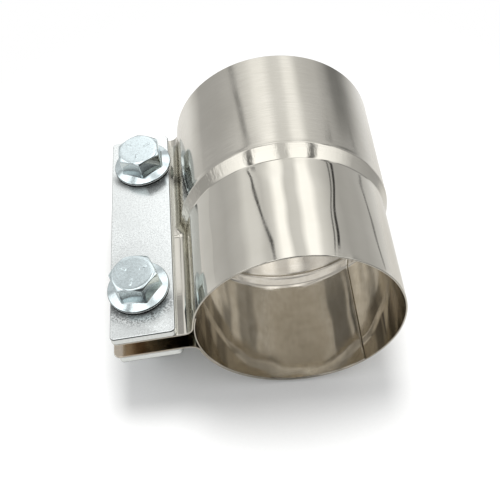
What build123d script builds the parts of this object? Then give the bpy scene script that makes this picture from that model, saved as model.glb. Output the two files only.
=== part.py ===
from build123d import *
import math
import os

# Stepped lap-joint pipe clamp.
# Bore axis along +Y, small mouth at y = 0, ears towards -X, bolts along Z with their heads up.
# Origin: centre of the small mouth, on the bore axis. All sizes in millimetres.

# Band
SHEET = 0.6
SMALL_OUTER_R = 33.5
STEP_RISE = 1.6
SMALL_LENGTH = 39.0
STEP_LENGTH = 5.0
BAND_LENGTH = 86.5
STEP_SECTIONS = 5

# Ears
HALF_GAP = 3.3
EAR_BEND_R = 3.0
UPPER_EAR_TIP_X = -58.9
LOWER_EAR_TIP_X = -60.0
EAR_CORNER_R = 2.0

# Seal liner
LINER_THICKNESS = 0.5
LINER_CLEARANCE = 0.02
LINER_START_DEG = 160.0
LINER_END_DEG = 305.5

# Bars
BAR_X = -48.3
BAR_WIDTH = 20.6
BAR_THICKNESS = 2.8
BAR_CORNER_R = 1.5
BAR_EDGE_R = 0.35

# Bolts and nuts, M10, each pair on its own spot (x, y)
NEAR_BOLT = (-49.3, 18.4)
FAR_BOLT = (-47.2, 73.0)
CLEARANCE_HOLE_R = 5.5
SHANK_R = 5.0
BOLT_LENGTH = 35.0
TIP_CHAMFER = 1.2
NUT_BORE_R = 5.05
NUT_MOUTH_R = 5.6
NUT_HEIGHT = 10.0
HEX_FLATS = 14.0
HEAD_HEIGHT = 8.4
HEAD_TOP_R = 6.6
HEX_CHAMFER_DEG = 30.0
FLANGE_R = 10.1
FLANGE_SEAT_R = 9.6
FLANGE_SEAT_RISE = 0.3
FLANGE_RIM = 1.1
FLANGE_CONE_TOP_R = 7.0
FLANGE_CONE_TOP_Z = 2.3

# Derived heights and lengths
EAR_OUTER_Z = HALF_GAP + SHEET
BAR_TOP_Z = EAR_OUTER_Z + BAR_THICKNESS
MIDDLE_Y = BAND_LENGTH / 2
LARGE_START_Y = SMALL_LENGTH + STEP_LENGTH
LARGE_LENGTH = BAND_LENGTH - LARGE_START_Y


def section_plane(y):
    """Plane across the bore at y, with its own axes along +X and +Z."""
    return Plane(origin=(0, y, 0), x_dir=(1, 0, 0), z_dir=(0, -1, 0))


def polar(radius, degrees):
    """Point at an angle round the bore."""
    angle = math.radians(degrees)
    return (radius * math.cos(angle), radius * math.sin(angle))


def arc_about(centre, radius, start_deg, end_deg):
    """Arc about any centre, through its own middle angle."""
    points = []
    for degrees in (start_deg, (start_deg + end_deg) / 2, end_deg):
        x, z = polar(radius, degrees)
        points.append((centre[0] + x, centre[1] + z))
    return ThreePointArc(*points)


def band_section(outer_r, y):
    """Closed outline of the band: open ring, two bends and two flat ears, the upper one shorter."""
    bend_z = EAR_OUTER_Z + EAR_BEND_R
    bend_x = -math.sqrt((outer_r + EAR_BEND_R) ** 2 - bend_z**2)
    tangent_deg = math.degrees(math.atan2(bend_z, bend_x))
    inner_r = outer_r - SHEET
    inner_bend_r = EAR_BEND_R + SHEET
    upper = (bend_x, bend_z)
    lower = (bend_x, -bend_z)
    facing_deg = tangent_deg - 180
    with BuildSketch(section_plane(y)) as sketch:
        with BuildLine():
            Line((UPPER_EAR_TIP_X, EAR_OUTER_Z), (bend_x, EAR_OUTER_Z))
            arc_about(upper, EAR_BEND_R, -90, facing_deg)
            arc_about((0, 0), outer_r, tangent_deg, -tangent_deg)
            arc_about(lower, EAR_BEND_R, -facing_deg, 90)
            Line((bend_x, -EAR_OUTER_Z), (LOWER_EAR_TIP_X, -EAR_OUTER_Z))
            Line((LOWER_EAR_TIP_X, -EAR_OUTER_Z), (LOWER_EAR_TIP_X, -HALF_GAP))
            Line((LOWER_EAR_TIP_X, -HALF_GAP), (bend_x, -HALF_GAP))
            arc_about(lower, inner_bend_r, 90, -facing_deg)
            arc_about((0, 0), inner_r, -tangent_deg, tangent_deg)
            arc_about(upper, inner_bend_r, facing_deg, -90)
            Line((bend_x, HALF_GAP), (UPPER_EAR_TIP_X, HALF_GAP))
            Line((UPPER_EAR_TIP_X, HALF_GAP), (UPPER_EAR_TIP_X, EAR_OUTER_Z))
        make_face()
    return sketch.sketch


def liner_section(band_outer_r, y):
    """Arc-shaped outline of the seal liner, just inside the band."""
    outer_r = band_outer_r - SHEET - LINER_CLEARANCE
    inner_r = outer_r - LINER_THICKNESS
    with BuildSketch(section_plane(y)) as sketch:
        with BuildLine():
            arc_about((0, 0), outer_r, LINER_START_DEG, LINER_END_DEG)
            Line(polar(outer_r, LINER_END_DEG), polar(inner_r, LINER_END_DEG))
            arc_about((0, 0), inner_r, LINER_END_DEG, LINER_START_DEG)
            Line(polar(inner_r, LINER_START_DEG), polar(outer_r, LINER_START_DEG))
        make_face()
    return sketch.sketch


def stepped_strip(section):
    """Small half, rolled step and large half of a strip whose outline is section(outer_r, y)."""
    large_outer_r = SMALL_OUTER_R + STEP_RISE
    small = extrude(section(SMALL_OUTER_R, 0), SMALL_LENGTH, dir=(0, 1, 0))
    large = extrude(section(large_outer_r, LARGE_START_Y), LARGE_LENGTH, dir=(0, 1, 0))
    outlines = []
    for index in range(STEP_SECTIONS):
        share = index / (STEP_SECTIONS - 1)
        rise = share * share * (3 - 2 * share)
        y = SMALL_LENGTH + share * STEP_LENGTH
        outlines.append(section(SMALL_OUTER_R + rise * STEP_RISE, y))
    return small.fuse(loft(outlines), large)


def upright_cylinder(spot, radius, bottom, top):
    """Vertical cylinder at a spot (x, y), between two heights."""
    middle = (bottom + top) / 2
    return Pos(*spot, middle) * Cylinder(radius, top - bottom)


def make_band():
    band = stepped_strip(band_section)
    upright = band.edges().filter_by(Axis.Z).group_by(Axis.X)
    band = fillet(upright[0] + upright[1], EAR_CORNER_R)
    for spot in (NEAR_BOLT, FAR_BOLT):
        band -= upright_cylinder(spot, CLEARANCE_HOLE_R, -BAR_TOP_Z, BAR_TOP_Z)
    return band


def make_liner():
    return stepped_strip(liner_section)


def make_bar(bottom):
    middle = bottom + BAR_THICKNESS / 2
    bar = Pos(BAR_X, MIDDLE_Y, middle) * Box(BAR_WIDTH, BAND_LENGTH, BAR_THICKNESS)
    bar = fillet(bar.edges().filter_by(Axis.Z), BAR_CORNER_R)
    rims = bar.faces().sort_by(Axis.Z)[0].edges() + bar.faces().sort_by(Axis.Z)[-1].edges()
    bar = fillet(rims, BAR_EDGE_R)
    for spot in (NEAR_BOLT, FAR_BOLT):
        bar -= upright_cylinder(spot, CLEARANCE_HOLE_R, -2 * BAR_TOP_Z, 2 * BAR_TOP_Z)
    return bar


def flanged_hex(height, turn_deg):
    """Hexagon with a round flange on its seat face, standing on z = 0."""
    reach = HEX_FLATS / math.sqrt(3) + 1
    drop = (reach - HEAD_TOP_R) * math.tan(math.radians(HEX_CHAMFER_DEG))
    with BuildPart() as head:
        with BuildSketch(Plane.XY):
            RegularPolygon(HEX_FLATS / 2, 6, major_radius=False, rotation=turn_deg)
        extrude(amount=height)
        with BuildSketch(Plane.XZ):
            with BuildLine():
                Polyline(
                    (0, 0),
                    (reach, 0),
                    (reach, height - drop),
                    (HEAD_TOP_R, height),
                    (0, height),
                    close=True,
                )
            make_face()
        revolve(axis=Axis.Z, mode=Mode.INTERSECT)
        with BuildSketch(Plane.XZ):
            with BuildLine():
                Polyline(
                    (0, 0),
                    (FLANGE_SEAT_R, 0),
                    (FLANGE_R, FLANGE_SEAT_RISE),
                    (FLANGE_R, FLANGE_RIM),
                    (FLANGE_CONE_TOP_R, FLANGE_CONE_TOP_Z),
                    (0, FLANGE_CONE_TOP_Z),
                    close=True,
                )
            make_face()
        revolve(axis=Axis.Z)
    return head.part


def make_bolt(spot, turn_deg):
    shank = upright_cylinder((0, 0), SHANK_R, -BOLT_LENGTH, 0.5)
    tip = shank.faces().sort_by(Axis.Z)[0].edges()
    shank = chamfer(tip, TIP_CHAMFER)
    bolt = flanged_hex(HEAD_HEIGHT, turn_deg) + shank
    return Pos(*spot, BAR_TOP_Z) * bolt


def make_nut(spot, turn_deg):
    nut = flanged_hex(NUT_HEIGHT, turn_deg)
    nut -= upright_cylinder((0, 0), NUT_BORE_R, -1, NUT_HEIGHT + 1)
    mouths = nut.edges().filter_by(GeomType.CIRCLE).sort_by(SortBy.RADIUS)[:2]
    nut = chamfer(mouths, NUT_MOUTH_R - NUT_BORE_R)
    return Pos(*spot, -BAR_TOP_Z) * Rot(180, 0, 0) * nut


os.makedirs("parts", exist_ok=True)
export_step(make_band(), "parts/band.step")
export_step(make_liner(), "parts/seal_liner.step")
export_step(make_bar(EAR_OUTER_Z), "parts/upper_bar.step")
export_step(make_bar(-BAR_TOP_Z), "parts/lower_bar.step")
export_step(make_bolt(NEAR_BOLT, 52), "parts/bolt_near.step")
export_step(make_bolt(FAR_BOLT, 32), "parts/bolt_far.step")
export_step(make_nut(NEAR_BOLT, 20), "parts/nut_near.step")
export_step(make_nut(FAR_BOLT, 0), "parts/nut_far.step")
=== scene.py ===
import math

import bmesh
import bpy
import numpy as np
from mathutils import Euler, Matrix, Vector


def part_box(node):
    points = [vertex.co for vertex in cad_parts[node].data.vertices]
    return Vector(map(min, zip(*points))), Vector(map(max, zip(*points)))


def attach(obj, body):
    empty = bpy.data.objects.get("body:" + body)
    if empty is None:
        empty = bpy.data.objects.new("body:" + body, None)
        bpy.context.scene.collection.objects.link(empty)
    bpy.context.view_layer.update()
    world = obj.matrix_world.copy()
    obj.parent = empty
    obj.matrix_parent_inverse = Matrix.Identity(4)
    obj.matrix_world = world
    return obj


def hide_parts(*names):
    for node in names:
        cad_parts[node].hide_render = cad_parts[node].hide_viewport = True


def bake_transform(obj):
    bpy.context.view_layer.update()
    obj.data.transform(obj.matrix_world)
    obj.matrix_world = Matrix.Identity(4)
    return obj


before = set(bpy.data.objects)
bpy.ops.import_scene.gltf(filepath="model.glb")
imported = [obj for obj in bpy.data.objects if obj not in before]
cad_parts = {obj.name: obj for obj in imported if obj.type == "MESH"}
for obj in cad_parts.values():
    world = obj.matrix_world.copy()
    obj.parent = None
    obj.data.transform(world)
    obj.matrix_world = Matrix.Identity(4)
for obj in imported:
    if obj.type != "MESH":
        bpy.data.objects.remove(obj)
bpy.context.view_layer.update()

# Looks of a stepped lap-joint pipe clamp: polished band, seal liner, clamp bars, bolts and nuts.
# Lengths are metres, written as millimetres times MM. Bore axis along +Y, ears towards -X.
MM = 0.001
scene = bpy.context.scene


# ---------------------------------------------------------------- sizes read from the frame

band_low, band_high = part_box("band")
upper_low, upper_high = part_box("upper_bar")
bolt_boxes = {node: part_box(node) for node in ("bolt_near", "bolt_far")}
nut_boxes = {node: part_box(node) for node in ("nut_near", "nut_far")}

LARGE_R = band_high.x
BAND_LENGTH = band_high.y
LOWER_EAR_TIP_X = band_low.x
UPPER_EAR_TIP_X = LOWER_EAR_TIP_X + 1.1 * MM
EAR_OUTER_Z = upper_low.z
BAR_TOP_Z = upper_high.z
SHEET = 0.6 * MM
STEP_RISE = 1.6 * MM
SMALL_R = LARGE_R - STEP_RISE
STEP_START_Y = 39.0 * MM
STEP_LENGTH = 5.0 * MM
STEP_SOFTNESS = 0.77 * MM
BEAD_HEIGHT = 0.10 * MM
BEAD_WIDTH = 0.9 * MM
EAR_BEND_R = 3.0 * MM
EAR_CORNER_R = 2.0 * MM
EDGE_R = 0.2 * MM
EDGE_STEPS = 4
HOLE_R = 5.5 * MM

LINER_THICKNESS = 0.5 * MM
LINER_CLEARANCE = 0.02 * MM
LINER_TIP_DEG = -200.0
LINER_SPLIT_DEG = -173.0
LINER_END_DEG = -54.5

# Waviness of the hand-rolled sheet: everywhere, more in the small half, and puckers by the step.
RIPPLE = 0.012 * MM
RIPPLE_MORE_IN_SMALL_HALF = 0.020 * MM
PUCKER = 0.018 * MM
# Each wave: waves round the ring, waves along the bore, phase.
WAVES = ((5, 0.9, 0.3), (9, -1.7, 1.1), (13, 2.9, 2.0), (8, 4.4, 4.1), (15, -5.2, 0.7))

# Columns in the meshes of half a band and of the liner.
EAR_COLUMNS = 42
BEND_COLUMNS = 15
RING_COLUMNS = 171
LINER_COLUMNS = 155

RING_POINTS = 192
THREAD_PITCH = 1.5 * MM
THREAD_DEPTH = 0.92 * MM
THREAD_END_Z = -3.2 * MM
THREAD_FADE = 1.2 * MM
RINGS_PER_TURN = 14
SHANK_R = 5.0 * MM
TIP_CHAMFER = 1.2 * MM
HEX_HALF_FLATS = 7.0 * MM
HEX_CORNER_CUT = 0.16 * MM
HEX_CORNER_SOFTNESS = 0.05 * MM
HEAD_TOP_R = 6.6 * MM
HEX_CHAMFER_DEG = 30
CONE_FOOT_R = 8.35 * MM
CONE_FOOT_Z = 1.62 * MM
CONE_SLOPE = 0.35
# Flange from its seat over its rim, up to the foot of the hexagon: (radius, height) in millimetres.
FLANGE = (
    (9.0, 0.0), (9.55, 0.0), (9.72, 0.03), (9.85, 0.10), (10.0, 0.22),
    (10.08, 0.36), (10.1, 0.52), (10.1, 0.78), (10.07, 0.92), (9.98, 1.03),
    (9.84, 1.10), (9.6, 1.17), (9.0, 1.38), (8.35, 1.62),
)
# The three plain strokes on a bolt's head.
STROKE_INNER_R = 2.4 * MM
STROKE_OUTER_R = 4.9 * MM
STROKE_HALF_WIDTH = 0.45 * MM
STROKE_HEIGHT = 0.12 * MM
STROKE_SIDE = 0.2 * MM
STROKE_END = 0.25 * MM
FIRST_STROKE_ANGLE = 0.4
NUT_BORE_R = 5.05 * MM
NUT_MOUTH_R = 5.6 * MM
BOLT_TURN_DEG = {"bolt_near": 52, "bolt_far": 32}
NUT_TURN_DEG = {"nut_near": 20, "nut_far": 0}


# ---------------------------------------------------------------- mesh helpers


def mesh_object(name, points, faces):
    """New object from points in the row frame."""
    mesh = bpy.data.meshes.new(name)
    mesh.from_pydata([tuple(p) for p in points], [], [tuple(f) for f in faces])
    mesh.validate()
    obj = bpy.data.objects.new(name, mesh)
    scene.collection.objects.link(obj)
    return obj


def smooth_by_angle(obj, degrees=35):
    obj.data.shade_smooth()
    obj.data.set_sharp_from_angle(angle=math.radians(degrees))


def turn_out(obj):
    """Makes every face normal point out of the solid."""
    shell = bmesh.new()
    shell.from_mesh(obj.data)
    bmesh.ops.recalc_face_normals(shell, faces=shell.faces)
    shell.to_mesh(obj.data)
    shell.free()


def smoothstep(share):
    share = np.clip(share, 0, 1)
    return share * share * (3 - 2 * share)


def lathe(name, rings):
    """Closed skin through rings of points, each ring the same length, with a point at both ends."""
    count = len(rings[0])
    points = [p for ring in rings for p in ring]
    faces = []
    for row in range(len(rings) - 1):
        for i in range(count):
            j = (i + 1) % count
            a = row * count
            b = a + count
            faces.append((a + i, a + j, b + j, b + i))
    for row in (0, len(rings) - 1):
        centre = tuple(sum(p[k] for p in rings[row]) / count for k in range(3))
        hub = len(points)
        points.append(centre)
        for i in range(count):
            j = (i + 1) % count
            faces.append((row * count + i, row * count + j, hub))
    obj = mesh_object(name, points, faces)
    turn_out(obj)
    return obj


def grid_border(rows, columns):
    """Places (row, column) once round the outside of a grid."""
    border = [(0, j) for j in range(columns)]
    border += [(i, columns - 1) for i in range(1, rows)]
    border += [(rows - 1, j) for j in range(columns - 2, -1, -1)]
    border += [(i, 0) for i in range(rows - 2, 0, -1)]
    return border


def rounded_edge(half):
    """Profile of the edge of a sheet of that half thickness: (height, how far it stands out)."""
    corner = min(EDGE_R, half * 0.9)
    upper = []
    for k in range(1, EDGE_STEPS + 1):
        a = math.pi / 2 * k / EDGE_STEPS
        upper.append((half - corner + corner * math.cos(a), corner * math.sin(a)))
    lower = [(-height, out) for height, out in reversed(upper)]
    return upper + lower[:-1]


def thick_sheet(name, middle, normal, thickness):
    """Sheet of even thickness round a grid of middle points, with rounded edges all round."""
    rows, columns = middle.shape[:2]
    size = rows * columns
    half = thickness / 2
    points = list((middle + normal * half).reshape(-1, 3))
    points += list((middle - normal * half).reshape(-1, 3))
    faces = []
    for i in range(rows - 1):
        for j in range(columns - 1):
            a = i * columns + j
            quad = (a, a + 1, a + columns + 1, a + columns)
            faces.append(quad)
            faces.append(tuple(size + k for k in reversed(quad)))

    border = grid_border(rows, columns)
    mids = np.array([middle[i, j] for i, j in border])
    norms = np.array([normal[i, j] for i, j in border])
    along = np.roll(mids, -1, 0) - np.roll(mids, 1, 0)
    out = np.cross(along, norms)
    out /= np.linalg.norm(out, axis=1)[:, None]
    inner = [(min(max(i, 1), rows - 2), min(max(j, 1), columns - 2)) for i, j in border]
    inward = np.array([middle[i, j] for i, j in inner])
    out *= np.sign(((mids - inward) * out).sum(1).mean())

    count = len(border)
    top = [i * columns + j for i, j in border]
    loops = [top]
    for height, reach in rounded_edge(half):
        loops.append(list(range(len(points), len(points) + count)))
        points += list(mids + norms * height + out * reach)
    loops.append([size + k for k in top])
    for upper, lower in zip(loops, loops[1:]):
        for k in range(count):
            m = (k + 1) % count
            faces.append((upper[k], lower[k], lower[m], upper[m]))
    obj = mesh_object(name, points, faces)
    turn_out(obj)
    return obj


# ---------------------------------------------------------------- band and liner shapes


def stations():
    """Places along the bore where sections are taken, closer at both ends and over the step."""
    corner = [EAR_CORNER_R * (1 - math.cos(a)) for a in np.linspace(0, math.pi / 2, 9)]
    corner = [EDGE_R + c for c in corner]
    corner.insert(1, corner[0] + 0.05 * MM)
    before_step = STEP_START_Y - 1.5 * MM
    after_step = STEP_START_Y + STEP_LENGTH + 2.0 * MM
    small_half = list(np.linspace(corner[-1], before_step, 28))[1:]
    step = list(np.linspace(before_step, after_step, 44))[1:]
    large_half = list(np.linspace(after_step, BAND_LENGTH - corner[-1], 30))[1:]
    mirrored = [BAND_LENGTH - c for c in reversed(corner)][1:]
    return np.array(corner + small_half + step + large_half + mirrored)


def outer_radius(y):
    """Outside radius of the ring at y: a soft-edged cone with a light bead at its top."""
    margin = 4 * MM
    step_end = STEP_START_Y + STEP_LENGTH
    fine = np.linspace(STEP_START_Y - margin, step_end + margin, 800)
    sharp = SMALL_R + STEP_RISE * np.clip((fine - STEP_START_Y) / STEP_LENGTH, 0, 1)
    reach = 60
    offsets = np.arange(-reach, reach + 1) * (fine[1] - fine[0])
    kernel = np.exp(-((offsets / STEP_SOFTNESS) ** 2))
    kernel /= kernel.sum()
    rolled = np.convolve(np.pad(sharp, reach, "edge"), kernel, "valid")
    bead = BEAD_HEIGHT * np.exp(-(((fine - step_end) / BEAD_WIDTH) ** 2))
    return np.interp(y, fine, rolled + bead)


def ripple(theta, y):
    """Waviness of the sheet along its normal. It dies out towards the ears."""
    large_share = smoothstep((y - STEP_START_Y) / STEP_LENGTH)
    amount = RIPPLE + RIPPLE_MORE_IN_SMALL_HALF * (1 - large_share)
    along = 2 * math.pi * y / BAND_LENGTH
    total = 0
    for turns, lengthwise, phase in WAVES:
        total = total + np.sin(turns * theta + lengthwise * along + phase) * 4 / turns
    pucker = np.exp(-(((y - STEP_START_Y + 3.5 * MM) / (3.0 * MM)) ** 2))
    waviness = amount * total + PUCKER * pucker * np.sin(14 * theta + 0.9)
    away_from_ears = smoothstep((math.pi - abs(theta)) / 0.6 - 0.55)
    return waviness * away_from_ears


def band_grid():
    """Middle points and normals of the band, from the upper ear's tip round to the lower one's."""
    ys = stations()
    radius = outer_radius(ys)
    bend_z = EAR_OUTER_Z + EAR_BEND_R
    bend_x = -np.sqrt((radius + EAR_BEND_R) ** 2 - bend_z**2)
    tangent = np.arctan2(bend_z, bend_x)
    mid_bend_r = EAR_BEND_R + SHEET / 2
    mid_z = EAR_OUTER_Z - SHEET / 2
    edge_y = np.minimum(ys, BAND_LENGTH - ys) - EDGE_R
    cut = np.clip(EAR_CORNER_R - edge_y, 0, EAR_CORNER_R)
    cut_x = EDGE_R + EAR_CORNER_R - np.sqrt(EAR_CORNER_R**2 - cut**2)
    tip_x = UPPER_EAR_TIP_X + cut_x
    stretch = (bend_x - LOWER_EAR_TIP_X - cut_x) / (bend_x - tip_x)
    columns, normals = [], []

    def add(x, z, nx, nz):
        columns.append(np.stack([x, ys, z], 1))
        normals.append(np.stack([nx, 0 * ys, nz], 1))

    zero = np.zeros_like(ys)
    one = np.ones_like(ys)
    for share in np.concatenate([[0, 0.004], np.linspace(0.02, 1, EAR_COLUMNS)]):
        add(tip_x + (bend_x - tip_x) * share, mid_z * one, zero, one)
    for share in np.linspace(0, 1, BEND_COLUMNS)[1:]:
        angle = -math.pi / 2 + share * (tangent - math.pi / 2)
        x = bend_x + mid_bend_r * np.cos(angle)
        z = bend_z + mid_bend_r * np.sin(angle)
        add(x, z, -np.cos(angle), -np.sin(angle))
    for share in np.linspace(0, 1, RING_COLUMNS)[1:]:
        theta = tangent * (1 - share)
        r = radius - SHEET / 2 + ripple(theta, ys)
        add(r * np.cos(theta), r * np.sin(theta), np.cos(theta), np.sin(theta))
    # The lower half is the upper one flipped, with its own waviness and a longer ear.
    for column, normal in list(zip(columns, normals))[-2::-1]:
        x, z = column[:, 0], column[:, 2]
        theta = np.arctan2(-z, x)
        on_ring = normal[:, 0] * x + normal[:, 2] * z > 0.9 * np.hypot(x, z)
        shift = np.where(on_ring, ripple(theta, ys) - ripple(-theta, ys), 0)
        flipped = column * (1, 1, -1)
        flipped[:, 0] = np.where(x < bend_x, bend_x + (x - bend_x) * stretch, x)
        flipped_normal = normal * (1, 1, -1)
        columns.append(flipped + flipped_normal * shift[:, None])
        normals.append(flipped_normal)
    middle = np.stack(columns, 1)
    normal = np.stack(normals, 1)
    return middle, sloped(middle, normal)


def sloped(middle, normal):
    """Tips the in-section normals so that they follow the step as well."""
    along = np.gradient(middle, axis=0)
    along /= np.linalg.norm(along, axis=2)[..., None]
    tipped = normal - along * (normal * along).sum(2)[..., None]
    return tipped / np.linalg.norm(tipped, axis=2)[..., None]


def liner_grid():
    """Middle points and normals of the seal liner, from its tip above the gap round to its end."""
    ys = stations()
    radius = outer_radius(ys) - SHEET - LINER_CLEARANCE - LINER_THICKNESS / 2
    degrees = np.linspace(LINER_TIP_DEG, LINER_END_DEG, LINER_COLUMNS)
    split = np.argmin(abs(degrees - LINER_SPLIT_DEG))
    degrees[split] = LINER_SPLIT_DEG
    columns, normals = [], []
    for theta in np.radians(degrees):
        wrapped = (theta + math.pi) % (2 * math.pi) - math.pi
        r = radius + ripple(wrapped, ys)
        columns.append(np.stack([r * math.cos(theta), ys, r * math.sin(theta)], 1))
        normals.append(np.tile((math.cos(theta), 0, math.sin(theta)), (len(ys), 1)))
    middle = np.stack(columns, 1)
    return middle, sloped(middle, np.stack(normals, 1))


def box_centre(box):
    """Middle of a box as seen from above: (x, y)."""
    middle = (Vector(box[0]) + Vector(box[1])) / 2
    return middle.x, middle.y


def cut_holes(obj):
    """Bolt holes through both ears, cut straight into the mesh."""
    shell = bmesh.new()
    for box in bolt_boxes.values():
        spot = Matrix.Translation((*box_centre(box), 0))
        size = {"segments": 72, "radius1": HOLE_R, "radius2": HOLE_R, "depth": 4 * BAR_TOP_Z}
        bmesh.ops.create_cone(shell, cap_ends=True, matrix=spot, **size)
    mesh = bpy.data.meshes.new("hole_cutter")
    shell.to_mesh(mesh)
    shell.free()
    cutter = bpy.data.objects.new("hole_cutter", mesh)
    scene.collection.objects.link(cutter)
    cut = obj.modifiers.new("holes", "BOOLEAN")
    cut.operation = "DIFFERENCE"
    cut.solver = "EXACT"
    cut.object = cutter
    bpy.context.view_layer.update()
    evaluated = obj.evaluated_get(bpy.context.evaluated_depsgraph_get())
    result = bpy.data.meshes.new_from_object(evaluated)
    obj.modifiers.clear()
    obj.data = result
    bpy.data.objects.remove(cutter)


def closing_faces(faces):
    """Faces that close the open border of a skin, one for each loop of it."""
    edges = {}
    for face in faces:
        for a, b in zip(face, face[1:] + face[:1]):
            edges[(a, b)] = True
    open_edges = {b: a for a, b in edges if (b, a) not in edges}
    caps = []
    while open_edges:
        start, following = open_edges.popitem()
        cap = [start]
        while following != start:
            cap.append(following)
            following = open_edges.pop(following)
        caps.append(tuple(cap))
    return caps


def split_keeping_normals(obj, names, side):
    """Two capped pieces of obj, with shading that runs on across the cut.

    side(centres) is True for the faces of the first piece.
    """
    smooth_by_angle(obj)
    mesh = obj.data
    points = np.zeros(len(mesh.vertices) * 3)
    mesh.vertices.foreach_get("co", points)
    points = points.reshape(-1, 3)
    corner_normals = np.zeros(len(mesh.loops) * 3, np.float32)
    mesh.corner_normals.foreach_get("vector", corner_normals)
    corner_normals = corner_normals.reshape(-1, 3)
    faces = [tuple(p.vertices) for p in mesh.polygons]
    loops = [tuple(p.loop_indices) for p in mesh.polygons]
    first = side(np.array([p.center for p in mesh.polygons]))
    pieces = []
    for name, chosen in zip(names, (first, ~first)):
        picked = [k for k in range(len(faces)) if chosen[k]]
        used = sorted({v for k in picked for v in faces[k]})
        index = {v: n for n, v in enumerate(used)}
        kept = [tuple(index[v] for v in faces[k]) for k in picked]
        kept_normals = [tuple(corner_normals[c]) for k in picked for c in loops[k]]
        caps = closing_faces(kept)
        piece_mesh = bpy.data.meshes.new(name)
        piece_mesh.from_pydata([tuple(points[v]) for v in used], [], kept + caps)
        piece_mesh.shade_smooth()
        for polygon in piece_mesh.polygons[len(kept):]:
            polygon.use_smooth = False
        cap_normals = [(0, 0, 0)] * sum(len(cap) for cap in caps)
        piece_mesh.normals_split_custom_set(kept_normals + cap_normals)
        piece = bpy.data.objects.new(name, piece_mesh)
        scene.collection.objects.link(piece)
        pieces.append(piece)
    bpy.data.objects.remove(obj)
    return pieces


def make_band():
    whole = thick_sheet("band_whole", *band_grid(), SHEET)
    cut_holes(whole)

    def above_middle(centres):
        return centres[:, 2] > 0

    return split_keeping_normals(whole, ("band_upper", "band_lower"), above_middle)


def make_liner():
    whole = thick_sheet("liner_whole", *liner_grid(), LINER_THICKNESS)
    split = math.radians(LINER_SPLIT_DEG) % (2 * math.pi)

    def above_split(centres):
        angle = np.arctan2(centres[:, 2], centres[:, 0]) % (2 * math.pi)
        return angle < split

    return split_keeping_normals(whole, ("liner_tongue", "liner_sheet"), above_split)


# ---------------------------------------------------------------- bolts and nuts


def rounded_hex(angle, turn_deg):
    """Distance from centre to the side of a hexagon whose corners are slightly rounded."""
    sector = math.pi / 3
    local = (angle - math.radians(turn_deg) + sector / 2) % sector - sector / 2
    sharp = HEX_HALF_FLATS / math.cos(sector / 2 - abs(local))
    limit = HEX_HALF_FLATS / math.cos(sector / 2) - HEX_CORNER_CUT
    # Smooth form of the smaller of the two.
    soft = HEX_CORNER_SOFTNESS
    return -soft * math.log(math.exp(-sharp / soft) + math.exp(-limit / soft))


def ring_angles():
    return [2 * math.pi * i / RING_POINTS for i in range(RING_POINTS)]


def circle(r, z):
    return [(r * math.cos(a), r * math.sin(a), z) for a in ring_angles()]


def flanged_rings(height, turn_deg, top_circles):
    """Rings of a flanged hexagon on z = 0, from its seat to its top edge, then circles given."""
    angles = ring_angles()
    reaches = [rounded_hex(a, turn_deg) for a in angles]
    slope = math.tan(math.radians(HEX_CHAMFER_DEG))

    def hex_ring(heights, grow=0.0):
        ring = []
        for a, reach, z in zip(angles, reaches, heights):
            r = reach + grow
            ring.append((r * math.cos(a), r * math.sin(a), z))
        return ring

    def chamfer_height(r):
        return height - max(r - HEAD_TOP_R, 0) * slope

    rings = [circle(r * MM, z * MM) for r, z in FLANGE]
    fillet = 0.25 * MM
    foot = [CONE_FOOT_Z + max(CONE_FOOT_R - reach - fillet, 0) * CONE_SLOPE for reach in reaches]
    rings.append(hex_ring(foot, fillet))
    cone = [CONE_FOOT_Z + (CONE_FOOT_R - reach) * CONE_SLOPE for reach in reaches]
    for lift in (0.25, 0.40):
        rings.append(hex_ring([z + lift * MM for z in cone]))
    for drop in (0.35, 0.14):
        rings.append(hex_ring([chamfer_height(reach) - drop * MM for reach in reaches]))
    for inset, drop in ((0.04, 0.05), (0.16, 0.0)):
        ring = []
        for a, reach in zip(angles, reaches):
            r = max(reach - inset * MM, HEAD_TOP_R)
            ring.append((r * math.cos(a), r * math.sin(a), chamfer_height(r) - drop * MM))
        rings.append(ring)
    rings.append(circle(HEAD_TOP_R, height - 0.02 * MM))
    rings.append(circle(HEAD_TOP_R - 0.2 * MM, height))
    rings += [circle(r, z) for r, z in top_circles]
    return rings


def marked_top(height):
    """Rings of the flat head, with three short raised strokes on it."""
    third = 2 * math.pi / 3
    rings = []
    for r in np.linspace(5.2, 1.6, 30) * MM:
        ring = []
        for a in ring_angles():
            aside = r * math.sin((a - FIRST_STROKE_ANGLE + third / 2) % third - third / 2)
            across = smoothstep((STROKE_HALF_WIDTH - abs(aside)) / STROKE_SIDE)
            inner_end = smoothstep((r - STROKE_INNER_R) / STROKE_END)
            outer_end = smoothstep((STROKE_OUTER_R - r) / STROKE_END)
            lift = STROKE_HEIGHT * float(across * inner_end * outer_end)
            ring.append((r * math.cos(a), r * math.sin(a), height + lift))
        rings.append(ring)
    return rings


def thread_radius(phase):
    """Radius of the thread at a share of one pitch: flat crest, sloping flank, rounded root."""
    folded = abs(2 * (phase % 1) - 1)
    rise = min(max((folded - 0.2) / 0.68, 0), 1)
    return SHANK_R - THREAD_DEPTH * (1 - rise)


def place(obj, x, y, z, upside_down=False):
    """Moves the points of a mesh that was made at the origin."""
    turn = Matrix.Rotation(math.pi, 4, "X") if upside_down else Matrix.Identity(4)
    obj.data.transform(Matrix.Translation((x, y, z)) @ turn)
    if upside_down:
        turn_out(obj)


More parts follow.
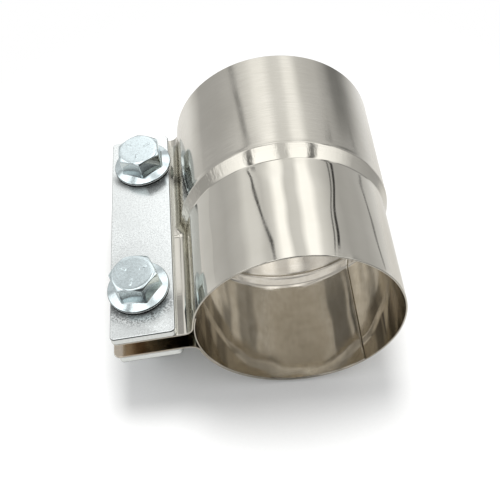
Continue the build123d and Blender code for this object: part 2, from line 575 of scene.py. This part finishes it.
def make_bolt(node):
    low, high = bolt_boxes[node]
    height = high.z - BAR_TOP_Z
    tip = low.z - BAR_TOP_Z
    head = flanged_rings(height, BOLT_TURN_DEG[node], [(5.6 * MM, height)]) + marked_top(height)
    shank = []
    levels = int(round(-tip / THREAD_PITCH * RINGS_PER_TURN))
    for k in range(levels + 1):
        z = tip * (1 - k / levels)
        limit = min(SHANK_R - TIP_CHAMFER + z - tip, SHANK_R)
        plain = smoothstep((z - THREAD_END_Z) / THREAD_FADE)
        ring = []
        for a in ring_angles():
            cut = thread_radius(z / THREAD_PITCH - a / (2 * math.pi))
            r = min(limit, cut + (SHANK_R - cut) * float(plain))
            ring.append((r * math.cos(a), r * math.sin(a), z))
        shank.append(ring)
    bolt = lathe(node + "_body", shank + head)
    place(bolt, *box_centre(bolt_boxes[node]), BAR_TOP_Z)
    smooth_by_angle(bolt, 28)
    return bolt


def make_nut(node):
    low, high = nut_boxes[node]
    height = high.z - low.z
    mouth = NUT_MOUTH_R - NUT_BORE_R
    face = [(6.1 * MM, height), (NUT_MOUTH_R, height)]
    rings = flanged_rings(height, NUT_TURN_DEG[node], face)
    rings += [circle(NUT_BORE_R, z) for z in (height - mouth, height / 2, mouth)]
    rings.append(circle(NUT_MOUTH_R, 0.0))
    points = [p for ring in rings for p in ring]
    faces = []
    for row in range(len(rings)):
        a = row * RING_POINTS
        b = (row + 1) % len(rings) * RING_POINTS
        for i in range(RING_POINTS):
            j = (i + 1) % RING_POINTS
            faces.append((a + i, a + j, b + j, b + i))
    nut = mesh_object(node + "_body", points, faces)
    turn_out(nut)
    place(nut, *box_centre(nut_boxes[node]), high.z, upside_down=True)
    smooth_by_angle(nut, 28)
    return nut


# ---------------------------------------------------------------- materials


class Shader:
    """Short way to write a node tree."""

    def __init__(self, tree):
        self.tree = tree
        tree.nodes.clear()

    def add(self, kind, settings=None, **inputs):
        node = self.tree.nodes.new(kind)
        for key, value in (settings or {}).items():
            setattr(node, key, value)
        for key, value in inputs.items():
            self.feed(node, key, value)
        return node

    def feed(self, node, key, value):
        """Sets an input by name, with _ for a space, or by number, as in _0."""
        place = int(key[1:]) if key[0] == "_" else key.replace("_", " ")
        socket = node.inputs[place]
        if isinstance(value, bpy.types.NodeSocket):
            self.tree.links.new(value, socket)
        else:
            socket.default_value = value

    def math(self, operation, a, b=0.0):
        return self.add("ShaderNodeMath", {"operation": operation}, _0=a, _1=b).outputs[0]

    def times(self, a, b):
        return self.math("MULTIPLY", a, b)

    def plus(self, a, b):
        return self.math("ADD", a, b)

    def larger(self, a, b):
        return self.math("MAXIMUM", a, b)

    def vector(self, operation, a, b):
        return self.add("ShaderNodeVectorMath", {"operation": operation}, _0=a, _1=b).outputs[0]

    def measure(self, operation, a, **more):
        """A number made from vectors, such as a length or a dot product."""
        node = self.add("ShaderNodeVectorMath", {"operation": operation}, _0=a, **more)
        return node.outputs["Value"]

    def span(self, value, low, high, to_low=0.0, to_high=1.0):
        """Goes smoothly from to_low at low to to_high at high."""
        node = self.add("ShaderNodeMapRange", {"interpolation_type": "SMOOTHSTEP"}, Value=value)
        self.feed(node, "From Min", low)
        self.feed(node, "From Max", high)
        self.feed(node, "To Min", to_low)
        self.feed(node, "To Max", to_high)
        return node.outputs[0]

    def window(self, value, rise, fall):
        """1 between two spans, 0 outside them."""
        return self.times(self.span(value, *rise), self.span(value, *fall))

    def mix(self, share, a, b):
        """Mix of two colours."""
        node = self.add("ShaderNodeMix", {"data_type": "RGBA"}, _0=share, _6=a, _7=b)
        return node.outputs[2]

    def noise(self, vector, scale, detail=3.0, roughness=0.5):
        node = self.add("ShaderNodeTexNoise", None, Vector=vector, Scale=scale, Detail=detail)
        self.feed(node, "Roughness", roughness)
        return node.outputs["Fac"]

    def split(self, vector):
        return self.add("ShaderNodeSeparateXYZ", None, Vector=vector).outputs

    def join(self, x, y, z):
        return self.add("ShaderNodeCombineXYZ", None, X=x, Y=y, Z=z).outputs[0]

    def ramp(self, value, stops):
        node = self.add("ShaderNodeValToRGB", None, Fac=value)
        elements = node.color_ramp.elements
        while len(elements) > 1:
            elements.remove(elements[-1])
        for k, (position, colour) in enumerate(stops):
            element = elements[0] if k == 0 else elements.new(position)
            element.position = position
            element.color = (*colour, 1)
        return node.outputs["Color"]


def new_material(name):
    material = bpy.data.materials.new(name)
    material.use_nodes = True
    return material, Shader(material.node_tree)


def finish_material(shader, colour, roughness, height, depth, metallic=1.0):
    """Metal surface, with a bump of the given height map and depth."""
    surface = shader.add("ShaderNodeBsdfPrincipled", None, Metallic=metallic)
    shader.feed(surface, "Base Color", colour)
    shader.feed(surface, "Roughness", roughness)
    bump = shader.add("ShaderNodeBump", None, Strength=1.0, Distance=depth, Height=height)
    shader.feed(surface, "Normal", bump.outputs[0])
    output = shader.add("ShaderNodeOutputMaterial")
    shader.feed(output, "Surface", surface.outputs[0])


# Linear colours of the metals. A pair holds the two ends that the noise in a material mixes.
STEEL_OUTSIDE = ((0.600, 0.578, 0.516, 1), (0.630, 0.608, 0.548, 1))
# The inside colours are darker than the outside ones: painted shade of the ring's inside.
STEEL_INSIDE_PAINTED_SHADE = ((0.52, 0.482, 0.415, 1), (0.57, 0.535, 0.472, 1))
STEEL_BRUSHED = (0.54, 0.515, 0.46, 1)
STEEL_IN_GAP = (0.60, 0.53, 0.44, 1)
ZINC_SCRATCH = (0.55, 0.59, 0.60, 1)
# Painted highlight: the bright band on the rim of a bolt or nut flange.
ZINC_RIM_HIGHLIGHT = (0.90, 0.93, 0.93, 1)
# Near black, for scuffed plating and for the painted shade and painted dark reflections by the
# flanges and along the bar edges.
ZINC_WEAR_AND_SHADE = (0.045, 0.05, 0.05, 1)


def polished_steel(name, grain, gloss):
    """Bright-rolled stainless sheet with fine rolling lines, duller in its far half, and with
    darker colours inside as painted shade.
    """
    material, s = new_material(name)
    coordinates = s.add("ShaderNodeTexCoord").outputs
    here = coordinates["Object"]
    x, y, z = s.split(here)
    around = s.math("ARCTAN2", z, x)
    unrolled = s.join(s.times(around, 0.03), s.times(y, 22.0), 0.0)
    lines = s.noise(unrolled, 160.0, 4.0, 0.65)
    smudge = s.noise(here, 70.0, 3.0, 0.55)
    stain = s.noise(here, 260.0, 5.0, 0.65)

    outward = s.measure("DOT_PRODUCT", s.join(x, 0.0, z), _1=coordinates["Normal"])
    inside = s.math("LESS_THAN", outward, 0.0)
    in_gap = s.times(inside, s.span(x, -37.0 * MM, -40.0 * MM))
    far_half = s.span(y, STEP_START_Y, STEP_START_Y + STEP_LENGTH)

    roughness = s.plus(s.times(far_half, 0.07), gloss)
    roughness = s.plus(roughness, s.span(smudge, 0.35, 0.75, -0.015, 0.035))
    roughness = s.plus(roughness, s.span(lines, 0.3, 0.8, -0.02, 0.03))
    roughness = s.plus(roughness, s.times(in_gap, 0.07))

    outer_colour = s.mix(s.span(smudge, 0.3, 0.7), *STEEL_OUTSIDE)
    brushed = s.times(s.span(lines, 0.35, 0.62), s.times(far_half, 0.5))
    outer_colour = s.mix(brushed, outer_colour, STEEL_BRUSHED)
    # Darker inside colour: painted shade of the ring's inside, with a mottled tone.
    inner_colour = s.mix(s.span(stain, 0.35, 0.65), *STEEL_INSIDE_PAINTED_SHADE)
    colour = s.mix(inside, outer_colour, inner_colour)
    colour = s.mix(in_gap, colour, STEEL_IN_GAP)

    # Creases left by the rolling of the step, strongest towards the ears.
    rise = (STEP_START_Y, STEP_START_Y + 1.5 * MM)
    fall = (STEP_START_Y + 5.5 * MM, STEP_START_Y + 4.5 * MM)
    on_step = s.times(s.window(y, rise, fall), s.span(around, 1.8, 2.3, 0.15, 1.0))
    creases = s.noise(s.join(around, s.times(y, 12.0), 0.0), 26.0, 2.0, 0.5)
    height = s.plus(s.times(lines, grain), s.times(s.times(creases, on_step), 0.16))
    finish_material(s, colour, roughness, height, MM)
    return material


def scuffs_and_flange_reflection(s, here, grain):
    """Share of darkened plating on the small-end side of each bolt flange: a speckled patch of
    scuffed plating that also stands in as a painted dark reflection of the flange, and next to the
    flange a ring of painted contact shade and painted dark reflection.
    """
    wear_and_shade = 0.0
    for node, reach in (("bolt_near", 7.0), ("bolt_far", 4.0)):
        low, high = bolt_boxes[node]
        flange_r = (high.x - low.x) / 2
        from_bolt = s.vector("SUBTRACT", here, (*box_centre(bolt_boxes[node]), 0))
        flat = s.vector("MULTIPLY", from_bolt, (1.0, 1.0, 0.0))
        distance = s.measure("LENGTH", flat)
        ahead = s.math("DIVIDE", s.split(flat)[1], distance)
        # Speckles: scuffed plating, also a painted dark reflection of the flange in the bar.
        speckles = s.span(distance, flange_r + reach * MM, flange_r)
        speckles = s.times(speckles, s.span(grain, 0.44, 0.55))
        # Painted contact shade and painted dark reflection in a ring next to the flange.
        painted_shade_by_flange = s.span(distance, flange_r + 3.0 * MM, flange_r + 0.4 * MM)
        painted_shade_by_flange = s.times(painted_shade_by_flange, s.span(grain, 0.30, 0.46, 0.55, 1.0))
        patch = s.times(s.larger(speckles, painted_shade_by_flange), s.span(ahead, -0.10, -0.65))
        wear_and_shade = s.larger(wear_and_shade, patch)
    return wear_and_shade


def zinc(name, bright, gloss, metallic, pits, wear_and_shade_depth):
    """Bright zinc plating: cool white, grainy, with fine scratches and a few rougher patches."""
    material, s = new_material(name)
    here = s.add("ShaderNodeTexCoord").outputs["Object"]
    grain = s.noise(here, 1500.0, 3.0, 0.65)
    patches = s.noise(here, 90.0, 3.0, 0.5)
    scratches = s.noise(s.vector("MULTIPLY", here, (1.0, 0.05, 1.0)), 4200.0, 2.0, 0.5)
    rough_patch = s.span(patches, 0.48, 0.68)
    height = s.times(grain, s.plus(s.times(rough_patch, 2.0), 0.6))
    height = s.plus(height, s.times(scratches, 0.35))
    roughness = s.plus(s.times(rough_patch, 0.08), gloss)

    dull = (*(c * 0.88 for c in bright[:3]), 1)
    colour = s.mix(s.span(grain, 0.34, 0.60), dull, bright)
    colour = s.mix(s.times(s.span(scratches, 0.62, 0.74), 0.35), colour, ZINC_SCRATCH)

    # Height above the face of the bar, in millimetres: painted shade along the bar's edge (below
    # 0), and on a flange (above 0) painted contact shade at its foot, a painted highlight on its
    # rim, then a fine painted dark reflection under its top.
    level = s.math("ABSOLUTE", s.split(here)[2])
    above = s.math("DIVIDE", s.math("SUBTRACT", level, BAR_TOP_Z), MM)
    # Painted contact shade at the foot of a flange, where it sits on the bar.
    foot = s.times(s.span(above, 0.50, 0.25), s.math("GREATER_THAN", above, 0.0))
    # Painted shade: a dark line just below the top edges of a bar.
    painted_edge_shade = s.window(above, (-0.6, -0.3), (0.0, -0.12))
    # Painted dark reflection: a fine dark line along the top of the flange rim.
    painted_dark_reflection_line = s.times(s.window(above, (0.82, 0.90), (1.08, 1.00)), 0.8)
    painted_rim_highlight = s.window(above, (0.35, 0.50), (0.82, 0.72))
    # Scuffs and painted shade, mixed towards the same near black.
    wear_and_shade = s.times(s.larger(scuffs_and_flange_reflection(s, here, grain), painted_edge_shade), wear_and_shade_depth)
    wear_and_shade = s.larger(s.larger(wear_and_shade, foot), painted_dark_reflection_line)
    colour = s.mix(wear_and_shade, colour, ZINC_WEAR_AND_SHADE)
    # Painted highlight on the flange rim, lighter and less metallic than the plating.
    colour = s.mix(painted_rim_highlight, colour, ZINC_RIM_HIGHLIGHT)
    metal = s.math("SUBTRACT", metallic, s.times(painted_rim_highlight, 0.6))
    finish_material(s, colour, roughness, height, pits * MM, metal)
    return material


# ---------------------------------------------------------------- surroundings

# The studio that the metal reflects. Bearings are degrees round the bore axis, from +X towards +Z.
# Tilts are degrees from the bore axis. Each view is a list of (bearing, brightness).
SMALL_HALF_VIEW = (
    (-180, 0.75), (-160, 0.80), (-120, 1.10), (-80, 1.15), (-50, 1.02), (-36, 0.88),
    (-20, 0.68), (-4, 0.57), (7, 0.58), (20, 0.54), (30, 0.62), (40, 0.82),
    (50, 1.05), (57, 1.64), (66, 1.66), (73, 0.98), (83, 0.92), (89, 1.68),
    (95, 1.66), (102, 1.00), (110, 0.78), (120, 1.00), (130, 1.00), (140, 0.72),
    (158, 0.60), (172, 0.66),
)
LARGE_HALF_VIEW = (
    (-180, 0.62), (-160, 1.05), (-120, 1.20), (-78, 1.35), (-57, 1.05), (-37, 0.84),
    (-26, 0.62), (-16, 0.36), (-6, 0.24), (4, 0.27), (14, 0.52), (26, 0.72),
    (37, 0.76), (48, 0.84), (57, 1.38), (64, 1.40), (70, 1.08), (80, 1.04),
    (90, 1.40), (101, 1.36), (110, 1.08), (122, 0.86), (132, 0.66), (150, 0.58),
    (168, 0.56),
)
INSIDE_VIEW = (
    (-180, 0.90), (-120, 1.15), (-60, 1.00), (-24, 0.90), (-20, 0.34), (20, 0.30),
    (24, 0.95), (29, 0.95), (32, 0.12), (38, 0.12), (42, 1.15), (58, 1.20),
    (80, 1.00), (90, 0.40), (104, 0.45), (112, 1.10), (125, 1.10), (134, 0.45),
    (150, 0.60), (156, 0.45), (168, 0.55), (173, 1.00),
)
OVERHEAD_VIEW = (
    (-180, 0.60), (-20, 0.50), (10, 0.60), (28, 1.30), (47, 1.70), (51, 0.28),
    (55, 0.28), (59, 1.72), (74, 1.72), (79, 0.85), (85, 0.85), (90, 1.75),
    (109, 1.75), (112, 0.22), (115, 0.22), (119, 1.70), (140, 1.30), (160, 0.50),
)
FRONT_VIEW = (
    (-180, 0.55), (-160, 0.30), (-90, 0.30), (0, 0.30), (40, 0.06), (58, 0.04),
    (98, 0.06), (105, 0.88), (118, 0.88), (122, 0.16), (130, 0.16), (134, 0.75),
    (142, 0.75), (148, 0.08), (158, 0.08), (166, 0.75),
)
BEHIND_VIEW = ((-180, 0.45), (0, 0.35), (30, 0.10), (130, 0.10), (145, 1.00), (170, 1.00))
VIEW_PEAK = 1.75
# Views, or plain grey levels, laid over LARGE_HALF_VIEW and SMALL_HALF_VIEW in this order:
# (tilt where it begins to show, tilt where it covers the rest, what it shows).
SMALL_HALF_TILT = (43.0, 46.5)
LAYERS = (
    (37.5, 34.0, 0.34),
    (27.0, 23.0, 0.62),
    (16.0, 12.0, 0.26),
    (53.2, 53.8, INSIDE_VIEW),
    (58.0, 63.0, OVERHEAD_VIEW),
    (93.0, 103.0, FRONT_VIEW),
    (136.0, 142.0, BEHIND_VIEW),
)
FLOOR_LIGHT = 0.80
# Thin dark joints between the panels: (bearing, its change per degree of tilt, the tilt it is
# given at, half width, darkness, lowest tilt, highest tilt), in degrees but for the darkness.
JOINTS = (
    (27.5, 1.8, 48.0, 2.1, 0.95, 44.5, 52.4),
    (32.0, 1.8, 48.0, 1.1, 0.80, 44.5, 52.4),
    (-15.0, -2.0, 48.0, 1.8, 0.65, 44.5, 53.5),
    (116.0, -3.0, 48.0, 2.1, 0.95, 45.5, 52.2),
    (115.5, -2.3, 45.2, 4.0, 0.70, 38.0, 45.8),
)
JOINT_COLOUR = (0.02, 0.02, 0.02, 1)


def bearing_stops(view):
    stops = []
    for degrees, level in view:
        value = level / VIEW_PEAK
        stops.append(((degrees + 180) / 360, (value, value, value)))
    return stops


def panel_joints(s, degrees, tilt):
    """Darkness of the joints between the panels."""
    dark = 0.0
    for bearing, drift, given_at, half_width, depth, low, high in JOINTS:
        middle = s.plus(s.times(s.math("SUBTRACT", tilt, given_at), drift), bearing)
        away = s.math("ABSOLUTE", s.math("SUBTRACT", degrees, middle))
        line = s.span(away, half_width, half_width * 0.45, 0.0, depth)
        shown = s.window(tilt, (low, low + 0.4), (high, high - 0.4))
        dark = s.larger(dark, s.times(line, shown))
    return dark


def make_world():
    """White to the camera. To the metal, a soft studio of light panels with thin dark joints."""
    world = bpy.data.worlds.new("studio")
    scene.world = world
    world.use_nodes = True
    world.cycles.sampling_method = "NONE"
    s = Shader(world.node_tree)
    x, y, z = s.split(s.add("ShaderNodeTexCoord").outputs["Generated"])
    bearing = s.math("ARCTAN2", z, x)
    share = s.plus(s.times(bearing, 0.5 / math.pi), 0.5)
    degrees = s.times(bearing, 180 / math.pi)
    tilt = s.times(s.math("ARCCOSINE", y), 180 / math.pi)

    def shown(view):
        return s.ramp(share, bearing_stops(view))

    panels = s.mix(s.span(tilt, *SMALL_HALF_TILT), shown(LARGE_HALF_VIEW), shown(SMALL_HALF_VIEW))
    panels = s.mix(panel_joints(s, degrees, tilt), panels, JOINT_COLOUR)
    for begins, full, view in LAYERS:
        layer = (view, view, view, 1) if isinstance(view, float) else shown(view)
        panels = s.mix(s.span(tilt, begins, full), panels, layer)

    white = (1, 1, 1, 1)
    path = s.add("ShaderNodeLightPath").outputs
    lit = s.add("ShaderNodeBackground", None, Color=panels, Strength=VIEW_PEAK).outputs[0]
    for_floor = s.add("ShaderNodeBackground", None, Color=white, Strength=FLOOR_LIGHT).outputs[0]
    plain = s.add("ShaderNodeBackground", None, Color=white, Strength=1.0).outputs[0]
    lit = s.add("ShaderNodeMixShader", None, _0=path["Is Diffuse Ray"], _1=lit, _2=for_floor)
    seen = s.add("ShaderNodeMixShader", None, _0=path["Is Camera Ray"], _1=lit.outputs[0], _2=plain)
    output = s.add("ShaderNodeOutputWorld")
    s.feed(output, "Surface", seen.outputs[0])


# The clamp rests on its large ring and on its bolt tips, so the floor is tilted in its frame.
FLOOR_TILT_DEG = 7.8
FLOOR_TOUCH = Vector((-4.8 * MM, 43.0 * MM, -34.9 * MM))
FLOOR_R = 190 * MM
FLOOR_RINGS = 24
FLOOR_SPOKES = 96
FLOOR_FADE = (70 * MM, 175 * MM)
FLOOR_PAPER = ((0.90, 0.905, 0.905, 1), (0.94, 0.945, 0.945, 1))
FLOOR_IN_REFLECTIONS = (0.66, 0.65, 0.63, 1)


def make_floor():
    """Round pale floor that fades out at its rim."""
    points = [(0, 0, 0)]
    for k in range(1, FLOOR_RINGS + 1):
        r = FLOOR_R * k / FLOOR_RINGS
        for i in range(FLOOR_SPOKES):
            a = 2 * math.pi * i / FLOOR_SPOKES
            points.append((r * math.cos(a), r * math.sin(a), 0))
    faces = [(0, 1 + i, 1 + (i + 1) % FLOOR_SPOKES) for i in range(FLOOR_SPOKES)]
    for k in range(FLOOR_RINGS - 1):
        a = 1 + k * FLOOR_SPOKES
        b = a + FLOOR_SPOKES
        for i in range(FLOOR_SPOKES):
            j = (i + 1) % FLOOR_SPOKES
            faces.append((a + i, b + i, b + j, a + j))
    floor = mesh_object("floor", points, faces)
    floor.rotation_euler = Euler((0, math.radians(FLOOR_TILT_DEG), 0))
    floor.location = FLOOR_TOUCH
    material, s = new_material("floor_paper")
    here = s.add("ShaderNodeTexCoord").outputs["Object"]
    to_camera = s.add("ShaderNodeLightPath").outputs["Is Camera Ray"]
    colour = s.mix(s.noise(here, 900.0, 3.0, 0.6), *FLOOR_PAPER)
    colour = s.mix(to_camera, FLOOR_IN_REFLECTIONS, colour)
    paper = s.add("ShaderNodeBsdfDiffuse", None, Color=colour, Roughness=0.4).outputs[0]
    clear = s.add("ShaderNodeBsdfTransparent").outputs[0]
    fade = s.span(s.measure("LENGTH", here), *FLOOR_FADE)
    both = s.add("ShaderNodeMixShader", None, _0=fade, _1=paper, _2=clear)
    output = s.add("ShaderNodeOutputMaterial")
    s.feed(output, "Surface", both.outputs[0])
    floor.data.materials.append(material)


LIGHT_PLACE = Vector((0.08, 0.18, 0.67))
LIGHT_TARGET = Vector((0, 0.04, 0))
LIGHT_SIZE = 0.28
LIGHT_WATTS = 3.4
LIGHT_COLOUR = (1.0, 0.99, 0.975)


def make_light():
    """One large soft light overhead, which the metal doesn't reflect."""
    light = bpy.data.lights.new("key", "AREA")
    light.shape = "DISK"
    light.size = LIGHT_SIZE
    light.energy = LIGHT_WATTS
    light.color = LIGHT_COLOUR
    lamp = bpy.data.objects.new("key", light)
    scene.collection.objects.link(lamp)
    lamp.location = LIGHT_PLACE
    lamp.rotation_euler = (LIGHT_TARGET - LIGHT_PLACE).to_track_quat("-Z", "Y").to_euler()
    lamp.visible_glossy = False


CAMERA_PLACE = Vector((5.0 * MM, -153.9 * MM, 229.5 * MM))
CAMERA_YAW_DEG = 5.50
CAMERA_PITCH_DEG = -50.84
CAMERA_ROLL_DEG = 13.37
CAMERA_LENS = 63.96


def make_camera():
    """Looks along +Y, then turned down, rolled and swung round."""
    data = bpy.data.cameras.new("camera")
    data.lens = CAMERA_LENS
    data.sensor_width = 36.0
    data.clip_start = 0.01
    camera = bpy.data.objects.new("camera", data)
    scene.collection.objects.link(camera)
    turn = Matrix.Rotation(math.radians(CAMERA_YAW_DEG), 4, "Z")
    turn = turn @ Matrix.Rotation(math.radians(CAMERA_PITCH_DEG), 4, "X")
    turn = turn @ Matrix.Rotation(math.radians(CAMERA_ROLL_DEG), 4, "Y")
    turn = turn @ Matrix.Rotation(math.radians(90), 4, "X")
    camera.matrix_world = Matrix.Translation(CAMERA_PLACE) @ turn
    scene.camera = camera


# ---------------------------------------------------------------- the clamp

steel = polished_steel("band_polished_steel", 0.0015, 0.05)
liner_metal = polished_steel("liner_bright_steel", 0.002, 0.05)
# The bars get the scuffs and the painted shade along their edges; bolts and nuts get neither, only
# the painted shade and highlight on their flanges.
bar_metal = zinc("bar_zinc_plate", (0.86, 0.895, 0.89, 1), 0.16, 0.86, 0.012, 0.90)
bolt_metal = zinc("bolt_zinc_plate", (0.72, 0.81, 0.83, 1), 0.12, 0.97, 0.003, 0.0)

# The lower half of the band stays with the lower ear. The upper half stays still.
band_upper, band_lower = make_band()
for piece in (band_upper, band_lower):
    piece.data.materials.append(steel)
    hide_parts("band")
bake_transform(band_upper)
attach(band_lower, "lower_jaw")

# The tongue bridges the gap: it reaches towards the upper ear, above the welded part of the liner.
liner_tongue, liner_sheet = make_liner()
for piece in (liner_tongue, liner_sheet):
    piece.data.materials.append(liner_metal)
    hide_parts("seal_liner")
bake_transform(liner_tongue)
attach(liner_sheet, "lower_jaw")

for node, body in (("bolt_near", "near_bolt"), ("bolt_far", "far_bolt")):
    bolt = make_bolt(node)
    bolt.data.materials.append(bolt_metal)
    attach(bolt, body)
    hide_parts(node)

for node in ("nut_near", "nut_far"):
    nut = make_nut(node)
    nut.data.materials.append(bolt_metal)
    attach(nut, "lower_jaw")
    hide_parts(node)

for node in ("upper_bar", "lower_bar"):
    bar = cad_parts[node]
    bar.data.materials.clear()
    bar.data.materials.append(bar_metal)

make_world()
make_floor()
make_light()
make_camera()
scene.view_settings.view_transform = "Standard"
scene.cycles.glossy_bounces = 8

bpy.context.view_layer.update()
